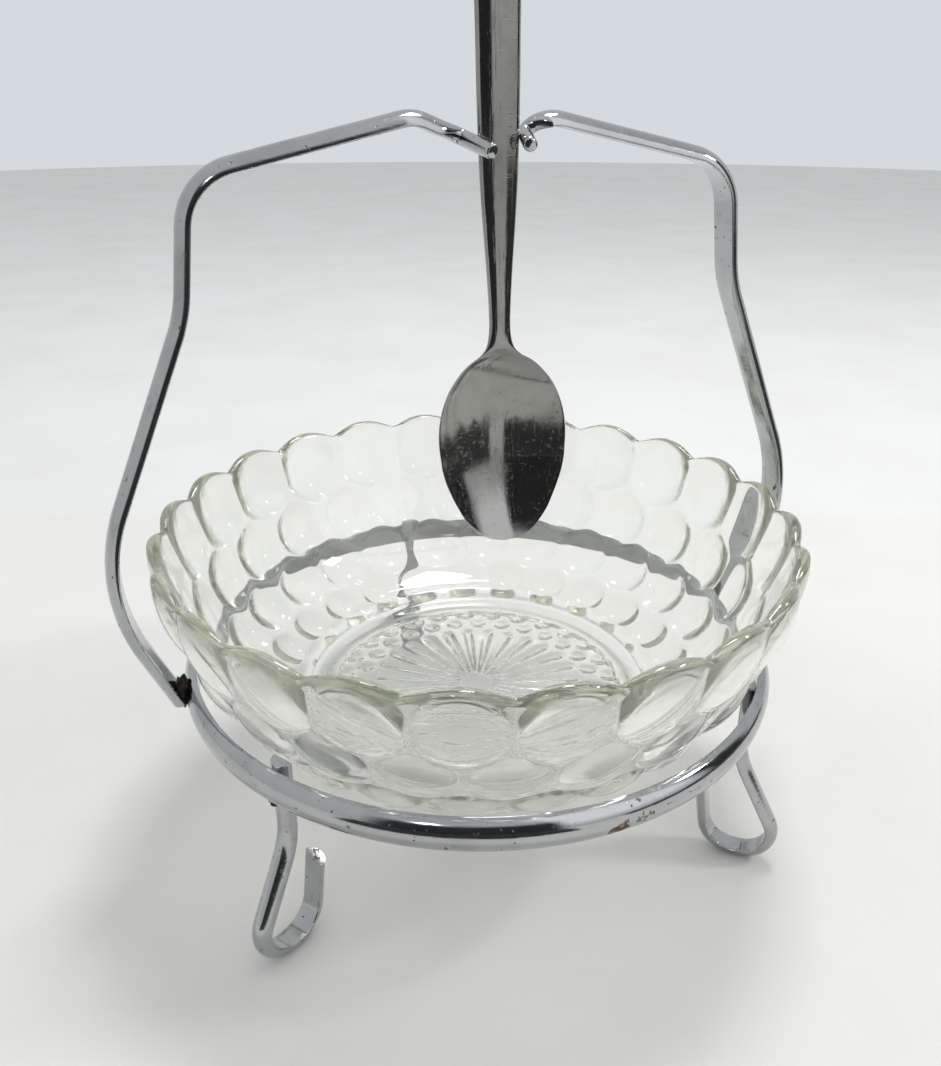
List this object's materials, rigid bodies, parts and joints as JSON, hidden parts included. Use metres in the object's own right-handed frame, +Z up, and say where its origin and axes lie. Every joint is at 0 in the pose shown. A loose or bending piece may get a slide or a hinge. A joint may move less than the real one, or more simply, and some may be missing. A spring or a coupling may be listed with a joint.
{
  "type": "chip and dip server",
  "caption": "Chromed wire stand with a split handle that carries a scalloped pressed-glass bowl and a hanging steel spoon.",
  "frame": {"origin": "on the table, under the middle of the ring", "axes": "+Z up, -Y to the front where the prongs point, X along the handle"},
  "size_m": [0.2346, 0.2152, 0.3052],
  "materials": {
    "pressed_glass": "fire-polished, clear with a faint yellow-green tint in the thick edges",
    "spoon_steel": "polished, finely scratched",
    "chrome_bar": "worn plating with small pits",
    "rusty_weld": "rough, rusted"
  },
  "bodies": {
    "stand": {"cradle_ring": "chrome_bar", "left_arm": "chrome_bar", "right_arm": "chrome_bar", "left_arm_weld": "rusty_weld", "right_arm_weld": "rusty_weld", "left_front_foot": "chrome_bar", "right_front_foot": "chrome_bar", "back_foot": "chrome_bar", "foot_welds": "rusty_weld"},
    "bowl": {"glass_bowl": "pressed_glass"},
    "hanging_spoon": {"spoon": "spoon_steel"}
  },
  "joints": [
    {"name": "bowl_lift", "type": "slide", "parent": "stand", "child": "bowl", "axis": [0, 0, 1], "range_m": [0, 0.015]},
    {"name": "spoon_lift", "type": "slide", "parent": "stand", "child": "hanging_spoon", "axis": [-0.0201, 0, 0.9998], "range_m": [0, 0.045]}
  ]
}
